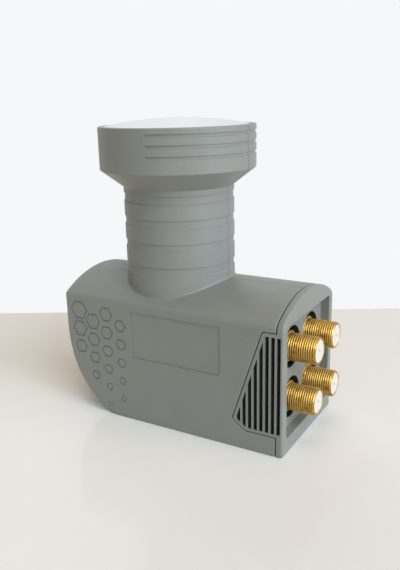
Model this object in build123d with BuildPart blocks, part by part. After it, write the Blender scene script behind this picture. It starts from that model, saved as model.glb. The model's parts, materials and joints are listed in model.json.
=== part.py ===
from build123d import *
import os
from math import copysign, cos, hypot, radians, sin, sqrt

os.makedirs("parts", exist_ok=True)

# Frame: the origin is on the neck's axis in the plane of the underside, Z runs up the neck,
# X points at the connectors, and the case's two halves meet in the plane Y = 0.

# Case body, an arched section that runs along X from the nose to the open mouth (mm)
body_width = 46.0
shoulder_height = 46.1
crown_height = 53.0
nose_reach = 37.8
nose_curve_length = 24.3
nose_curve_height = 33.5
mouth_reach = 48.55
case_wall = 2.0
shoulder_round = 4.0
nose_shoulder_round = 1.0
edge_round = 0.7
mouth_round = 0.35
seam_gap = 0.12
least_round = 0.5
pick_margin = 0.01

# Neck, a 40 mm tube for a dish arm's clamp, with shallow bands round it
neck_radius = 20.0
neck_top = 85.9
neck_foot_round = 1.0
band_count = 4
band_height = 3.2
band_pitch = 8.3
band_depth = 0.35
band_top_margin = 1.9

# Ring round the feedhorn, with grip grooves on the side towards the connectors
ring_radius = 28.0
ring_bottom = 92.0
ring_top = 106.8
ring_wall = 2.2
ring_round = 0.45
groove_count = 3
groove_height = 1.3
groove_pitch = 3.5
groove_depth = 0.4
groove_top_margin = 1.9
groove_sweep = 160.0

# Sunk panel on the front half
panel_length = 36.6
panel_height = 17.5
panel_back = 8.15
panel_drop = 3.5
panel_depth = 0.35
panel_round = 1.4

# Weather shield that slides out along X over the connectors
shield_gap = 0.35
slide_clearance = 0.3
shield_travel = 12.0
rim_depth = 2.5
rim_round = 0.9
rim_back_round = 0.35
recess_depth = 3.3
recess_width = 39.4
recess_low = 5.6
recess_top_drop = 1.0
recess_round = 1.5
recess_edge_round = 0.4
shield_wall = 1.3
sleeve_wall = 1.5
sleeve_overlap = 1.6
access_radius = 7.3

# Slotted wing on each side of the shield, measured back from the case's mouth
wing_reach = 15.75
wing_tip_height = 10.6
wing_knee_reach = 10.7
wing_low = 7.15
wing_top_reach = 4.6
wing_top_drop = 2.7
wing_round = 0.8
wing_gap = 0.3
wing_edge_round = 0.25
slot_count = 8
slot_pitch = 2.07
slot_width = 1.22
slot_depth = 2.5
slot_margin = 1.2
slot_front_margin = 1.66

# Stop hooks on the sleeve's tail and the grooves that they run in
hook_length = 2.0
hook_height = 2.6
hook_low = 3.3
hook_rise = 0.8
hook_clearance = 0.3

# Bulkheads that carry the chassis, and the pegs that line the halves up
bulkhead_thickness = 1.6
bulkhead_clearance = 0.1
bulkhead_setback = 6.0
nose_bulkhead_reach = 18.0
neck_rib_height = 70.0
peg_radius = 1.0
peg_length = 3.0
peg_clearance = 0.1
boss_radius = 1.9
boss_length = 7.0

# Feed cap and its seal
cap_clearance = 0.1
cap_wall = 1.4
cap_rise = 2.45
cap_skirt = 6.0
cap_fit = 0.2
seal_radius = 0.7
seal_clearance = 0.02
seal_drop = 2.6

# Die-cast chassis with its waveguide and corrugated horn
chassis_back = 22.0
chassis_wall = 2.0
chassis_end_wall = 3.0
chassis_end_gap = 2.8
chassis_clearance = 0.7
chassis_headroom = 0.4
chassis_lift = 4.2
waveguide_radius = 9.2
waveguide_wall = 2.0
horn_clearance = 0.2
horn_floor = 3.0
horn_rim_wall = 2.6
horn_ring_wall = 1.2
horn_ring_drop = 2.0
horn_lip_drop = 5.0

# Board between chassis and cover, and the screws through all three
board_thickness = 1.0
board_margin = 0.2
screw_radius = 1.2
screw_head_radius = 2.25
screw_head_height = 1.8
screw_sink = 2.2
screw_engagement = 7.0
screw_clearance = 0.2
screw_pilot_clearance = 0.02
screw_boss_radius = 3.2
screw_inset = 4.5
screw_middle = 16.0
chip_side = 7.0
chip_height = 0.9
crystal_length = 5.0
crystal_width = 3.2
crystal_height = 1.3
can_length = 18.0
can_width = 13.0
can_height = 3.0
can_sheet = 0.4
board_part_setback = 13.8
crystal_offset = 7.0

# Pick-up probes in the waveguide
probe_radius = 0.6
probe_depth = 4.2
probe_leg_radius = 14.0
probe_bend = 1.5
probe_low = 9.0
probe_step = 5.0
bush_radius = 1.6
bush_clearance = 0.03
bush_stand = 0.8

# F connectors, two rows of two, with a 3/8 inch barrel
connector_pitch_y = 16.7
connector_pitch_z = 18.4
connector_drop = 0.2
barrel_radius = 9.525 / 2
barrel_length = 10.6
barrel_chamfer = 0.5
collar_radius = 5.5
collar_length = 2.7
spigot_radius = 4.0
spigot_clearance = 0.05
gasket_thickness = 0.8
gasket_margin = 1.5
insulator_radius = 3.85
insulator_length = 7.8
insulator_sink = 0.15
insulator_clearance = 0.05
insulator_front = 1.2
pilot_radius = 0.55
contact_radius = 0.95
contact_bore = 0.45
contact_bore_depth = 4.0
contact_wire_radius = 0.6
contact_tail = 2.4
contact_bend = 1.5
shell_bore_radius = 1.6

# Values that follow from the sizes above
arch_rise = crown_height - shoulder_height
arch_radius = ((body_width / 2) ** 2 + arch_rise**2) / (2 * arch_rise)
arch_centre_height = crown_height - arch_radius
nose_centre = nose_reach - nose_curve_length
overshoot = case_wall
panel_low = shoulder_height - panel_drop - panel_height
neck_bore = neck_radius - case_wall
ring_bore = ring_radius - ring_wall
flare_slope = (ring_bottom - neck_top) / (ring_radius - neck_radius)
flare_lift = case_wall * hypot(1, flare_slope)

plug_inset = case_wall + slide_clearance
sleeve_inset = plug_inset + sleeve_wall
rim_back = mouth_reach + shield_gap
shield_front = rim_back + rim_depth
recess_floor = shield_front - recess_depth
recess_high = shoulder_height - recess_top_drop
wing_high = shoulder_height - wing_top_drop
shield_wall_back = recess_floor - shield_wall
sleeve_tail = mouth_reach - wing_reach - sleeve_overlap
bulkhead_places = (-nose_bulkhead_reach, sleeve_tail - bulkhead_setback)

connector_mid_height = (recess_low + recess_high) / 2 - connector_drop
board_bottom = connector_mid_height - board_thickness / 2
board_top = connector_mid_height + board_thickness / 2
chassis_half = body_width / 2 - sleeve_inset - chassis_clearance
chassis_end = shield_wall_back - chassis_end_gap
cavity_end = chassis_end - chassis_end_wall
cover_bottom = sleeve_inset + chassis_lift
cover_end = cavity_end - board_margin
board_part_place = cover_end - board_part_setback
waveguide_outside = waveguide_radius + waveguide_wall

cap_radius = ring_bore - cap_clearance
cap_inside = cap_radius - cap_wall
horn_radius = cap_inside - cap_fit
horn_top = ring_top - cap_wall - cap_clearance
seal_centre_radius = cap_inside - seal_clearance - seal_radius
seal_centre_height = horn_top - seal_drop

collar_back = chassis_end + gasket_thickness
collar_front = collar_back + collar_length
barrel_tip = collar_front + barrel_length
insulator_tip = barrel_tip - insulator_sink
insulator_back = insulator_tip - insulator_length
contact_tip = insulator_tip - insulator_front
contact_tail_reach = cavity_end - contact_tail
connector_places = [
    (y, connector_mid_height + z)
    for z in (connector_pitch_z / 2, -connector_pitch_z / 2)
    for y in (-connector_pitch_y / 2, connector_pitch_y / 2)
]
probe_places = (
    ("horizontal", Vector(1, 0, 0), board_top + probe_low),
    ("vertical", Vector(0, 1, 0), board_top + probe_low + probe_step),
)
screw_places = [
    (x, y)
    for x in (-chassis_back + screw_inset, screw_middle, cavity_end - screw_inset)
    for y in (screw_inset + chassis_wall - chassis_half, chassis_half - chassis_wall - screw_inset)
]


def arch_height(inset, y):
    """Height of the case's arch at y, for a surface drawn inset from the outside"""
    return arch_centre_height + sqrt((arch_radius - inset) ** 2 - y**2)


def flare_height(radius):
    """Height of the flare's inner cone at a radius from the neck's axis"""
    return neck_top + (radius - neck_radius) * flare_slope + flare_lift


chassis_top = arch_height(sleeve_inset, chassis_half) - chassis_headroom


def arch_section(inset, corner_round=0.0, top_round=shoulder_round):
    """The case's section, Y across and Z up, drawn inset from the outside"""
    half = body_width / 2 - inset
    shoulder = arch_height(inset, half)
    with BuildSketch() as section:
        with BuildLine():
            Polyline((-half, shoulder), (-half, inset), (half, inset), (half, shoulder))
            ThreePointArc((half, shoulder), (0, crown_height - inset), (-half, shoulder))
        make_face()
        fillet(section.vertices().group_by(Axis.Y)[-1], max(top_round - inset, least_round))
        if corner_round:
            fillet(section.vertices().group_by(Axis.Y)[0], corner_round)
    return section.sketch


def spread_section(top_round):
    """The case's section, spread out below the shoulders so that flat sides can be cut from it"""
    half = body_width / 2
    tangent_height = arch_height(top_round, half - top_round)
    with BuildSketch() as section:
        add(arch_section(0, top_round=top_round))
        for side in (-half, half):
            spread = side + copysign(overshoot, side)
            with BuildLine():
                Polyline(
                    (side, 0),
                    (side, tangent_height),
                    (spread, nose_curve_height),
                    (spread, 0),
                    close=True,
                )
            make_face()
    return section.sketch


def side_profile(inset, end):
    """The case's side view, X along and Z up: a quarter ellipse from the underside to the nose"""
    top = crown_height + overshoot
    with BuildSketch() as profile:
        with BuildLine():
            nose = EllipticalCenterArc(
                (-nose_centre, nose_curve_height),
                nose_curve_length - inset,
                nose_curve_height - inset,
                start_angle=180,
                arc_size=90,
            )
            Polyline(nose @ 1, (end, inset), (end, top), (inset - nose_reach, top), nose @ 0)
        make_face()
    return profile.sketch


def channel_section(depth, height):
    """Draws a shallow channel with a square upper edge and a lower edge that slopes out"""
    Polygon((depth, 0), (0, 0), (-depth, depth), (-depth, height), (depth, height), align=None)


def wing_outline(end, grow=0.0):
    """The wing's side view as far as the end, grown or shrunk by an even margin"""
    with BuildSketch() as wing:
        with BuildLine():
            Polyline(
                (mouth_reach - wing_reach, wing_tip_height),
                (mouth_reach - wing_knee_reach, wing_low),
                (end, wing_low),
                (end, wing_high),
                (mouth_reach - wing_top_reach, wing_high),
                close=True,
            )
        make_face()
        fillet(wing.vertices().sort_by(Axis.X)[:3], wing_round)
        if grow:
            offset(amount=grow)
    return wing.sketch


nose_section = spread_section(nose_shoulder_round)
mouth_section = spread_section(shoulder_round)
rim_section = arch_section(0, edge_round)
inner_section = arch_section(case_wall)
rib_section = arch_section(case_wall / 2)
plug_section = arch_section(plug_inset)
sleeve_section = arch_section(sleeve_inset)
outer_profile = side_profile(0, mouth_reach)
inner_profile = side_profile(case_wall, mouth_reach + overshoot)
wing_face = wing_outline(rim_back + rim_depth / 2)
wing_opening = wing_outline(shield_front, wing_gap)
slot_limits = wing_outline(shield_front + slot_pitch, -slot_margin)


# Case outside: body, neck and ring as one form. The shoulders' rounding tapers off towards the nose

with BuildPart() as case_outside:
    with BuildSketch(Plane.YZ.offset(-nose_reach)):
        add(nose_section)
    with BuildSketch(Plane.YZ.offset(mouth_reach)):
        add(mouth_section)
    loft(ruled=True)
    with BuildSketch(Plane.XZ):
        add(outer_profile)
    extrude(amount=body_width / 2, both=True, mode=Mode.INTERSECT)
    side_edges = case_outside.edges().filter_by(
        lambda edge: abs(abs(edge.center().Y) - body_width / 2) < pick_margin
        and (edge.center().Z < pick_margin or edge.center().X < -nose_centre)
    )
    nose_edges = case_outside.edges().filter_by(
        lambda edge: edge.bounding_box().max.X < pick_margin - nose_reach
        and edge.center().Z > shoulder_height - shoulder_round
    )
    fillet(list(set(side_edges + nose_edges)), edge_round)
    fillet(case_outside.faces().sort_by(Axis.X)[-1].outer_wire().edges(), mouth_round)
    with BuildSketch(Plane.XZ) as neck_profile:
        with BuildLine():
            Polyline(
                (0, nose_curve_height),
                (neck_radius, nose_curve_height),
                (neck_radius, neck_top),
                (ring_radius, ring_bottom),
                (ring_radius, ring_top),
                (0, ring_top),
                close=True,
            )
        make_face()
        fillet(neck_profile.vertices().sort_by(Axis.X)[-2:], ring_round)
    revolve(axis=Axis.Z)
    foot_edges = case_outside.edges().filter_by(
        lambda edge: edge.bounding_box().min.Z > shoulder_height
        and edge.bounding_box().max.Z < crown_height + pick_margin
        and abs(hypot((edge @ 0).X, (edge @ 0).Y) - neck_radius) < pick_margin
    )
    fillet(foot_edges, neck_foot_round)
    band_first = neck_top - band_top_margin - band_height
    with BuildSketch(Plane.XZ):
        with Locations([(neck_radius, band_first - step * band_pitch) for step in range(band_count)]):
            channel_section(band_depth, band_height)
    revolve(axis=Axis.Z, mode=Mode.SUBTRACT)
    groove_first = ring_top - groove_top_margin - groove_height
    groove_start = radians(-groove_sweep / 2)
    groove_plane = Plane(
        (0, 0, 0),
        x_dir=(cos(groove_start), sin(groove_start), 0),
        z_dir=(sin(groove_start), -cos(groove_start), 0),
    )
    with BuildSketch(groove_plane):
        with Locations([(ring_radius, groove_first - step * groove_pitch) for step in range(groove_count)]):
            channel_section(groove_depth, groove_height)
    revolve(axis=Axis.Z, revolution_arc=groove_sweep, mode=Mode.SUBTRACT)


# Case inside: the hollow of the body, neck and ring

with BuildPart() as case_hollow:
    with BuildSketch(Plane.YZ.offset(-nose_reach)):
        add(inner_section)
    extrude(amount=nose_reach + mouth_reach + overshoot)
    with BuildSketch(Plane.XZ):
        add(inner_profile)
    extrude(amount=body_width, both=True, mode=Mode.INTERSECT)
    with BuildSketch(Plane.XZ):
        with BuildLine():
            Polyline(
                (0, nose_curve_height),
                (neck_bore, nose_curve_height),
                (neck_bore, flare_height(neck_bore)),
                (ring_bore, flare_height(ring_bore)),
                (ring_bore, ring_top + overshoot),
                (0, ring_top + overshoot),
                close=True,
            )
        make_face()
    revolve(axis=Axis.Z)


# Bulkheads follow the case's section and close round the chassis

with BuildPart() as bulkheads:
    chassis_window_height = chassis_top - cover_bottom + 2 * bulkhead_clearance
    chassis_window_middle = (chassis_top + cover_bottom) / 2
    for place in bulkhead_places:
        with BuildSketch(Plane.YZ.offset(place - bulkhead_thickness / 2)):
            add(rib_section)
            with Locations((0, chassis_window_middle)):
                Rectangle(
                    2 * (chassis_half + bulkhead_clearance),
                    chassis_window_height,
                    mode=Mode.SUBTRACT,
                )
        extrude(amount=bulkhead_thickness)
    with BuildSketch(Plane.XY.offset(neck_rib_height)):
        Circle(neck_radius - case_wall / 2)
        Circle(waveguide_outside + bulkhead_clearance, mode=Mode.SUBTRACT)
    extrude(amount=bulkhead_thickness)
    add(case_outside.part, mode=Mode.INTERSECT)


# The whole case before it is parted, with the wing openings and the stop grooves

with BuildPart() as case_shell:
    add(case_outside.part)
    add(case_hollow.part, mode=Mode.SUBTRACT)
    add(bulkheads.part)
    with BuildSketch(Plane.XZ.offset(body_width / 2 - case_wall - overshoot)):
        add(wing_opening)
    extrude(amount=case_wall + 2 * overshoot, mode=Mode.SUBTRACT)
    with BuildSketch(Plane.XZ.offset(overshoot + case_wall - body_width / 2)):
        add(wing_opening)
    extrude(amount=-case_wall - 2 * overshoot, mode=Mode.SUBTRACT)
    opening_edges = case_shell.edges().filter_by(
        lambda edge: abs(abs(edge.center().Y) - body_width / 2) < pick_margin
        and mouth_reach - wing_reach - 2 * wing_gap < edge.center().X < mouth_reach - 2 * mouth_round
        and wing_low - 2 * wing_gap < edge.center().Z < wing_high + 2 * wing_gap
    )
    fillet(opening_edges, wing_edge_round)
    stop_length = hook_length + shield_travel + 2 * hook_clearance
    stop_middle = sleeve_tail - hook_clearance + stop_length / 2
    with BuildSketch(Plane.XZ):
        with Locations((stop_middle, hook_low + hook_height / 2)):
            Rectangle(stop_length, hook_height + 2 * hook_clearance)
    extrude(
        amount=body_width / 2 - plug_inset + hook_rise + hook_clearance,
        both=True,
        mode=Mode.SUBTRACT,
    )

peg_heights = (
    (cover_bottom - bulkhead_clearance + case_wall) / 2,
    (chassis_top + bulkhead_clearance + crown_height - case_wall) / 2,
)
peg_places = [(x, z) for x in bulkhead_places for z in peg_heights]


# Front half, on the side of -Y, with the peg sockets and the sunk panel

with BuildPart() as housing_front:
    add(case_shell.part)
    split(bisect_by=Plane.XZ.offset(seam_gap / 2), keep=Keep.TOP)
    with BuildSketch(Plane.XZ.offset(seam_gap / 2)):
        with Locations(peg_places):
            Circle(boss_radius)
    extrude(amount=boss_length)
    with BuildSketch(Plane.XZ):
        with Locations(peg_places):
            Circle(peg_radius + peg_clearance)
    extrude(amount=peg_length + peg_clearance, mode=Mode.SUBTRACT)
    with BuildSketch(Plane.XZ.offset(body_width / 2 - panel_depth)) as panel:
        with Locations((panel_length / 2 - panel_back, panel_low + panel_height / 2)):
            Rectangle(panel_length, panel_height)
        fillet(panel.vertices().group_by(Axis.Y)[0].sort_by(Axis.X)[-1], panel_round)
    extrude(amount=panel_depth + overshoot, mode=Mode.SUBTRACT)
housing_front.part.label = "housing_front"
export_step(housing_front.part, "parts/housing_front.step")


# Rear half, on the side of +Y, with the pegs

with BuildPart() as housing_rear:
    add(case_shell.part)
    split(bisect_by=Plane.XZ.offset(-seam_gap / 2), keep=Keep.BOTTOM)
    with BuildSketch(Plane.XZ.offset(-seam_gap / 2)):
        with Locations(peg_places):
            Circle(boss_radius)
    extrude(amount=-boss_length)
    with BuildSketch(Plane.XZ.offset(-seam_gap / 2)):
        with Locations(peg_places):
            Circle(peg_radius)
    extrude(amount=seam_gap / 2 + peg_length)
housing_rear.part.label = "housing_rear"
export_step(housing_rear.part, "parts/housing_rear.step")


# Cutter for the slots of both wings: blind in the rim, and right through behind the holed wall

with BuildSketch() as slots:
    slot_middle = shield_front - slot_front_margin - (slot_count - 1) * slot_pitch / 2
    with Locations((slot_middle, (wing_low + wing_high) / 2)):
        with GridLocations(slot_pitch, 0, slot_count, 1):
            Rectangle(slot_width, wing_high)
    add(slot_limits, mode=Mode.INTERSECT)

with BuildPart() as slot_cutter:
    with BuildSketch(Plane.XZ.offset(body_width / 2 - sleeve_inset - overshoot)):
        add(slots.sketch)
        with Locations((shield_wall_back, 0)):
            Rectangle(2 * wing_reach, 2 * crown_height, align=(Align.MIN, Align.CENTER), mode=Mode.SUBTRACT)
    extrude(amount=sleeve_inset + 2 * overshoot)
    with BuildSketch(Plane.XZ.offset(body_width / 2 - slot_depth)):
        add(slots.sketch)
    extrude(amount=slot_depth + overshoot)
    mirror(about=Plane.XZ)


# Wing plates, with their outer edges rounded where they show

with BuildPart() as wing_plates:
    with BuildSketch(Plane.XZ.offset(body_width / 2 - plug_inset)):
        add(wing_face)
    extrude(amount=plug_inset)
    outer_edges = wing_plates.faces().sort_by(Axis.Y)[0].edges()
    fillet(outer_edges.filter_by(lambda edge: edge.center().X < rim_back), wing_edge_round)
    mirror(about=Plane.XZ)


# Weather shield: rim, holed wall, sleeve that runs inside the case, wings and stop hooks

with BuildPart() as weather_shield:
    with BuildSketch(Plane.YZ.offset(rim_back)):
        add(rim_section)
    extrude(amount=rim_depth)
    fillet(weather_shield.faces().sort_by(Axis.X)[0].outer_wire().edges(), rim_back_round)
    with BuildSketch(Plane.YZ.offset(shield_wall_back)):
        add(plug_section)
    extrude(amount=rim_back - shield_wall_back)
    with BuildSketch(Plane.YZ.offset(sleeve_tail)):
        add(plug_section)
        add(sleeve_section, mode=Mode.SUBTRACT)
    extrude(amount=shield_wall_back - sleeve_tail)
    add(wing_plates.part)
    with BuildSketch(Plane.XZ):
        with Locations((sleeve_tail + hook_length / 2, hook_low + hook_height / 2)):
            Rectangle(hook_length, hook_height)
    extrude(amount=body_width / 2 - plug_inset + hook_rise, both=True)
    with BuildSketch(Plane.YZ.offset(sleeve_tail)):
        add(sleeve_section)
    extrude(amount=shield_wall_back - sleeve_tail, mode=Mode.SUBTRACT)
    with BuildSketch(Plane.YZ.offset(recess_floor)):
        with Locations((0, (recess_low + recess_high) / 2)):
            RectangleRounded(recess_width, recess_high - recess_low, recess_round)
    extrude(amount=recess_depth, mode=Mode.SUBTRACT)
    with BuildSketch(Plane.YZ.offset(shield_wall_back)):
        with Locations(connector_places):
            Circle(access_radius)
    extrude(amount=shield_wall, mode=Mode.SUBTRACT)
    front_face = weather_shield.faces().sort_by(Axis.X)[-1]
    recess_edges = front_face.inner_wires()[0].edges()
    fillet(front_face.outer_wire().edges(), rim_round)
    fillet(recess_edges, recess_edge_round)
    add(slot_cutter.part, mode=Mode.SUBTRACT)
weather_shield.part.label = "weather_shield"
export_step(weather_shield.part, "parts/weather_shield.step")


# Feed cap, a shallow dome with a skirt that runs down between the ring and the horn

with BuildPart() as feed_cap:
    with BuildSketch(Plane.XZ):
        with BuildLine():
            dome = TangentArc((0, ring_top + cap_rise), (cap_radius, ring_top), tangent=(1, 0))
            under = TangentArc(
                (0, ring_top + cap_rise - cap_wall),
                (cap_inside, ring_top - cap_wall),
                tangent=(1, 0),
            )
            Polyline(
                dome @ 1,
                (cap_radius, ring_top - cap_skirt),
                (cap_inside, ring_top - cap_skirt),
                under @ 1,
            )
            Line(under @ 0, dome @ 0)
        make_face()
    revolve(axis=Axis.Z)
feed_cap.part.label = "feed_cap"
export_step(feed_cap.part, "parts/feed_cap.step")

with BuildPart() as cap_seal:
    with BuildSketch(Plane.XZ):
        with Locations((seal_centre_radius, seal_centre_height)):
            Circle(seal_radius)
    revolve(axis=Axis.Z)
cap_seal.part.label = "cap_seal"
export_step(cap_seal.part, "parts/cap_seal.step")


# Chassis: a box open to the board, a full-height end wall, the waveguide and the corrugated horn

with BuildPart() as chassis:
    with BuildSketch(Plane.XY.offset(board_top)):
        with Locations(((chassis_end - chassis_back) / 2, 0)):
            Rectangle(chassis_end + chassis_back, 2 * chassis_half)
    extrude(amount=chassis_top - board_top)
    with BuildSketch(Plane.XY.offset(board_top)):
        with Locations(((cavity_end - chassis_back + chassis_wall) / 2, 0)):
            Rectangle(cavity_end + chassis_back - chassis_wall, 2 * (chassis_half - chassis_wall))
    extrude(amount=chassis_top - board_top - chassis_wall, mode=Mode.SUBTRACT)
    with BuildSketch(Plane.XY.offset(cover_bottom)):
        with Locations((chassis_end - chassis_end_wall / 2, 0)):
            Rectangle(chassis_end_wall, 2 * chassis_half)
    extrude(amount=board_top - cover_bottom)
    with BuildSketch(Plane.XY.offset(board_top)):
        with Locations(screw_places):
            Circle(screw_boss_radius)
    extrude(amount=chassis_top - board_top - chassis_wall / 2)
    with BuildSketch(Plane.XZ):
        with BuildLine():
            throat = neck_bore - horn_clearance
            throat_height = flare_height(throat) + horn_clearance
            rim_inside = horn_radius - horn_rim_wall
            ring_middle = (waveguide_outside + rim_inside) / 2
            inner_floor = throat_height + horn_floor
            outer_floor = flare_height(rim_inside) + horn_clearance + horn_floor
            Polyline(
                (0, board_top),
                (waveguide_outside, board_top),
                (waveguide_outside, throat_height),
                (throat, throat_height),
                (horn_radius, flare_height(horn_radius) + horn_clearance),
                (horn_radius, horn_top),
                (rim_inside, horn_top),
                (rim_inside, outer_floor),
                (ring_middle + horn_ring_wall / 2, outer_floor),
                (ring_middle + horn_ring_wall / 2, horn_top - horn_ring_drop),
                (ring_middle - horn_ring_wall / 2, horn_top - horn_ring_drop),
                (ring_middle - horn_ring_wall / 2, inner_floor),
                (waveguide_outside, inner_floor),
                (waveguide_outside, horn_top - horn_lip_drop),
                (0, horn_top - horn_lip_drop),
                close=True,
            )
        make_face()
    revolve(axis=Axis.Z)
    with BuildSketch(Plane.XY.offset(board_top + chassis_wall)):
        Circle(waveguide_radius)
    extrude(amount=horn_top - board_top, mode=Mode.SUBTRACT)
    seal_seat_radius = seal_centre_radius - seal_radius - seal_clearance
    with BuildSketch(Plane.XZ):
        with Locations((seal_seat_radius, seal_centre_height)):
            Rectangle(
                cap_inside - seal_seat_radius,
                2 * (seal_radius + seal_clearance),
                align=(Align.MIN, Align.CENTER),
            )
    revolve(axis=Axis.Z, mode=Mode.SUBTRACT)
    with BuildSketch(Plane.XY.offset(board_top)):
        with Locations(screw_places):
            Circle(screw_radius + screw_pilot_clearance)
    extrude(amount=screw_engagement + screw_clearance, mode=Mode.SUBTRACT)
    with BuildSketch(Plane.YZ.offset(cavity_end)):
        with Locations(connector_places):
            Circle(spigot_radius + spigot_clearance)
    extrude(amount=chassis_end_wall, mode=Mode.SUBTRACT)
    for name, outward, height in probe_places:
        with BuildSketch(Plane(outward * (waveguide_radius / 2) + Vector(0, 0, height), z_dir=outward)):
            Circle(bush_radius + bush_clearance)
        extrude(amount=waveguide_outside, mode=Mode.SUBTRACT)
chassis.part.label = "chassis"
export_step(chassis.part, "parts/chassis.step")


# Chassis cover, a tray under the board with sunk screw heads, open where the end wall closes it

with BuildPart() as chassis_cover:
    with BuildSketch(Plane.XY.offset(cover_bottom)):
        with Locations(((cover_end - chassis_back) / 2, 0)):
            Rectangle(cover_end + chassis_back, 2 * chassis_half)
    extrude(amount=board_bottom - cover_bottom)
    with BuildSketch(Plane.XY.offset(cover_bottom + chassis_wall)):
        with Locations(((cavity_end - chassis_back + chassis_wall) / 2, 0)):
            Rectangle(cavity_end + chassis_back - chassis_wall, 2 * (chassis_half - chassis_wall))
    extrude(amount=board_bottom - cover_bottom, mode=Mode.SUBTRACT)
    with BuildSketch(Plane.XY.offset(cover_bottom)):
        with Locations(screw_places):
            Circle(screw_boss_radius)
    extrude(amount=board_bottom - cover_bottom)
    with Locations(Plane.XY.offset(cover_bottom)):
        with Locations([(x, y, 0) for x, y in screw_places]):
            Cylinder(
                screw_radius + screw_clearance,
                board_bottom - cover_bottom,
                align=(Align.CENTER, Align.CENTER, Align.MIN),
                mode=Mode.SUBTRACT,
            )
            Cylinder(
                screw_head_radius + screw_clearance,
                screw_sink,
                align=(Align.CENTER, Align.CENTER, Align.MIN),
                mode=Mode.SUBTRACT,
            )
chassis_cover.part.label = "chassis_cover"
export_step(chassis_cover.part, "parts/chassis_cover.step")

with BuildPart() as cover_screws:
    with BuildSketch(Plane.XY.offset(cover_bottom + screw_sink - screw_head_height)):
        with Locations(screw_places):
            Circle(screw_head_radius)
    extrude(amount=screw_head_height)
    with BuildSketch(Plane.XY.offset(cover_bottom + screw_sink)):
        with Locations(screw_places):
            Circle(screw_radius)
    extrude(amount=board_top + screw_engagement - cover_bottom - screw_sink)
cover_screws.part.label = "cover_screws"
export_step(cover_screws.part, "parts/cover_screws.step")


# Board and the parts on it

with BuildPart() as rf_board:
    with BuildSketch(Plane.XY.offset(board_bottom)):
        with Locations(((cover_end - chassis_back + board_margin) / 2, 0)):
            Rectangle(cover_end + chassis_back - board_margin, 2 * (chassis_half - board_margin))
        with Locations(screw_places):
            Circle(screw_radius + screw_clearance, mode=Mode.SUBTRACT)
    extrude(amount=board_thickness)
rf_board.part.label = "rf_board"
export_step(rf_board.part, "parts/rf_board.step")

with BuildPart() as board_chip:
    with BuildSketch(Plane.XY.offset(board_top)):
        with Locations((board_part_place, 0)):
            Rectangle(chip_side, chip_side)
    extrude(amount=chip_height)
board_chip.part.label = "board_chip"
export_step(board_chip.part, "parts/board_chip.step")

with BuildPart() as board_crystal:
    with BuildSketch(Plane.XY.offset(board_top)):
        with Locations((board_part_place, crystal_offset)):
            RectangleRounded(crystal_length, crystal_width, least_round)
    extrude(amount=crystal_height)
board_crystal.part.label = "board_crystal"
export_step(board_crystal.part, "parts/board_crystal.step")

with BuildPart() as board_shield_can:
    with BuildSketch(Plane.XY.offset(board_bottom)):
        with Locations((board_part_place, 0)):
            Rectangle(can_length, can_width)
    extrude(amount=-can_height)
    with BuildSketch(Plane.XY.offset(board_bottom)):
        with Locations((board_part_place, 0)):
            Rectangle(can_length - 2 * can_sheet, can_width - 2 * can_sheet)
    extrude(amount=can_sheet - can_height, mode=Mode.SUBTRACT)
board_shield_can.part.label = "board_shield_can"
export_step(board_shield_can.part, "parts/board_shield_can.step")


# Probes: one along X and one along Y, each a bent wire in a plastic bush

for name, outward, height in probe_places:
    upright = Plane((0, 0, 0), x_dir=outward, z_dir=outward.cross(Vector(0, 0, 1)))
    with BuildPart() as probe:
        with BuildLine(upright) as wire:
            FilletPolyline(
                (waveguide_radius - probe_depth, height),
                (probe_leg_radius, height),
                (probe_leg_radius, board_top),
                radius=probe_bend,
            )
        with BuildSketch(Plane(wire.line @ 0, z_dir=wire.line % 0)):
            Circle(probe_radius)
        sweep()
    probe.part.label = f"probe_{name}"
    export_step(probe.part, f"parts/probe_{name}.step")

    with BuildPart() as probe_bush:
        with BuildSketch(upright):
            with Locations((waveguide_radius, height + probe_radius + bush_clearance)):
                Rectangle(
                    waveguide_wall + bush_stand,
                    bush_radius - probe_radius - bush_clearance,
                    align=(Align.MIN, Align.MIN),
                )
        revolve(axis=Axis((0, 0, height), outward))
    probe_bush.part.label = f"probe_bush_{name}"
    export_step(probe_bush.part, f"parts/probe_bush_{name}.step")


# Gasket behind the connectors' collars

with BuildPart() as connector_gasket:
    with BuildSketch(Plane.YZ.offset(chassis_end)):
        with Locations((0, (cover_bottom + chassis_top) / 2)):
            Rectangle(2 * (chassis_half - gasket_margin), chassis_top - cover_bottom - 2 * gasket_margin)
        with Locations(connector_places):
            Circle(spigot_radius + spigot_clearance, mode=Mode.SUBTRACT)
    extrude(amount=gasket_thickness)
connector_gasket.part.label = "connector_gasket"
export_step(connector_gasket.part, "parts/connector_gasket.step")


# Connectors, numbered along the upper row and then the lower one

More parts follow.
